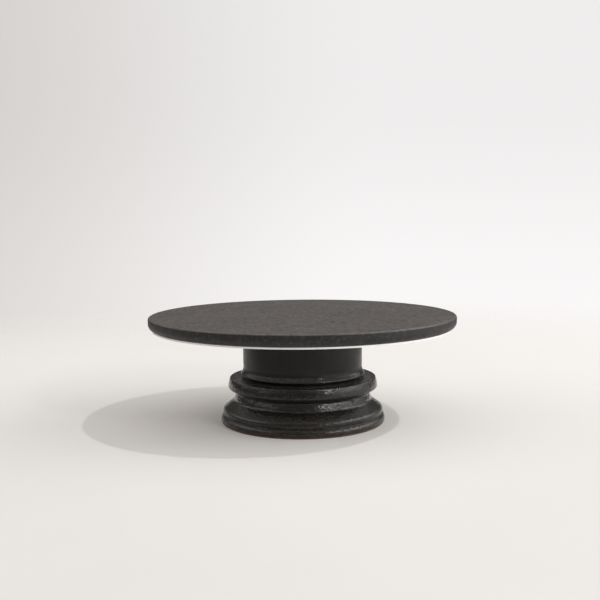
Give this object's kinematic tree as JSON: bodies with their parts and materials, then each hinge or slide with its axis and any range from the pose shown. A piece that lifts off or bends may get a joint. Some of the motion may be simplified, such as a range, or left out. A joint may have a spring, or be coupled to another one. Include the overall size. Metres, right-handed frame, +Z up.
{
  "type": "sculpting turntable",
  "caption": "Heavy bench turntable for sculpting: a flat round wheel head on a hollow skirt turns freely on ball bearings in a moulded round cast base.",
  "frame": {"origin": "on the table, under the middle of the foot ring", "axes": "+Z up along the spindle to the working face; X and Y are free, because the outside is round"},
  "size_m": [0.3, 0.3, 0.1053],
  "materials": {
    "wheel_enamel": "dark warm grey satin enamel, finely scratched and rubbed on the working face",
    "skirt_enamel": "smooth black semi-gloss enamel",
    "base_enamel": "black textured semi-gloss enamel, a little rust at the foot",
    "plate_aluminium": "bright satin sheet",
    "zinc_screw": "zinc plated",
    "black_bolt": "black oxide, oiled",
    "ground_steel": "turned and ground",
    "bearing_steel": "ground and polished",
    "ball_steel": "polished",
    "cage_brass": "machined",
    "cage_nylon": "moulded dark green-black nylon",
    "shield_steel": "pressed sheet",
    "spacer_steel": "turned",
    "spring_steel": "phosphated spring steel",
    "turned_iron": "turned all over",
    "grey_felt": "dense wool felt",
    "cover_paint": "matte black paint",
    "brown_felt": "dense brown felt"
  },
  "bodies": {
    "base": {"base_casting": "base_enamel", "bearing_housing": "turned_iron", "housing_bolts": "black_bolt", "thrust_lower_washer": "bearing_steel", "upper_bearing_outer_ring": "bearing_steel", "upper_bearing_shields": "shield_steel", "outer_spacer": "spacer_steel", "lower_bearing_outer_ring": "bearing_steel", "lower_bearing_shields": "shield_steel", "housing_circlip": "spring_steel", "felt_dust_ring": "grey_felt", "bottom_cover": "cover_paint", "bottom_cover_screws": "zinc_screw", "foot_ring": "brown_felt"},
    "head": {"wheel_head": "wheel_enamel", "underside_plate": "plate_aluminium", "underside_plate_screws": "zinc_screw", "hub_skirt": "skirt_enamel", "spindle": "ground_steel", "head_clamp_bolts": "black_bolt", "thrust_upper_washer": "bearing_steel", "upper_bearing_inner_ring": "bearing_steel", "inner_spacer": "spacer_steel", "lower_bearing_inner_ring": "bearing_steel", "tab_washer": "shield_steel", "spindle_locknut": "black_bolt"},
    "thrust_cage_set": {"thrust_cage": "cage_brass", "thrust_balls": "ball_steel"},
    "upper_cage_set": {"upper_bearing_cage": "cage_nylon", "upper_bearing_balls": "ball_steel"},
    "lower_cage_set": {"lower_bearing_cage": "cage_nylon", "lower_bearing_balls": "ball_steel"}
  },
  "joints": [
    {"name": "head_spin", "type": "hinge", "parent": "base", "child": "head", "pos_m": [0, 0, 0.0804], "axis": [0, 0, 1], "continuous": true},
    {"name": "thrust_cage_turn", "type": "hinge", "parent": "base", "child": "thrust_cage_set", "pos_m": [0, 0, 0.0754], "axis": [0, 0, 1], "continuous": true},
    {"name": "upper_cage_turn", "type": "hinge", "parent": "base", "child": "upper_cage_set", "pos_m": [0, 0, 0.0604], "axis": [0, 0, 1], "continuous": true},
    {"name": "lower_cage_turn", "type": "hinge", "parent": "base", "child": "lower_cage_set", "pos_m": [0, 0, 0.0279], "axis": [0, 0, 1], "continuous": true}
  ],
  "couplings": [
    {"joint": "thrust_cage_turn", "follows": "head_spin", "ratio": 0.5},
    {"joint": "upper_cage_turn", "follows": "head_spin", "ratio": 0.3976},
    {"joint": "lower_cage_turn", "follows": "head_spin", "ratio": 0.3976}
  ]
}
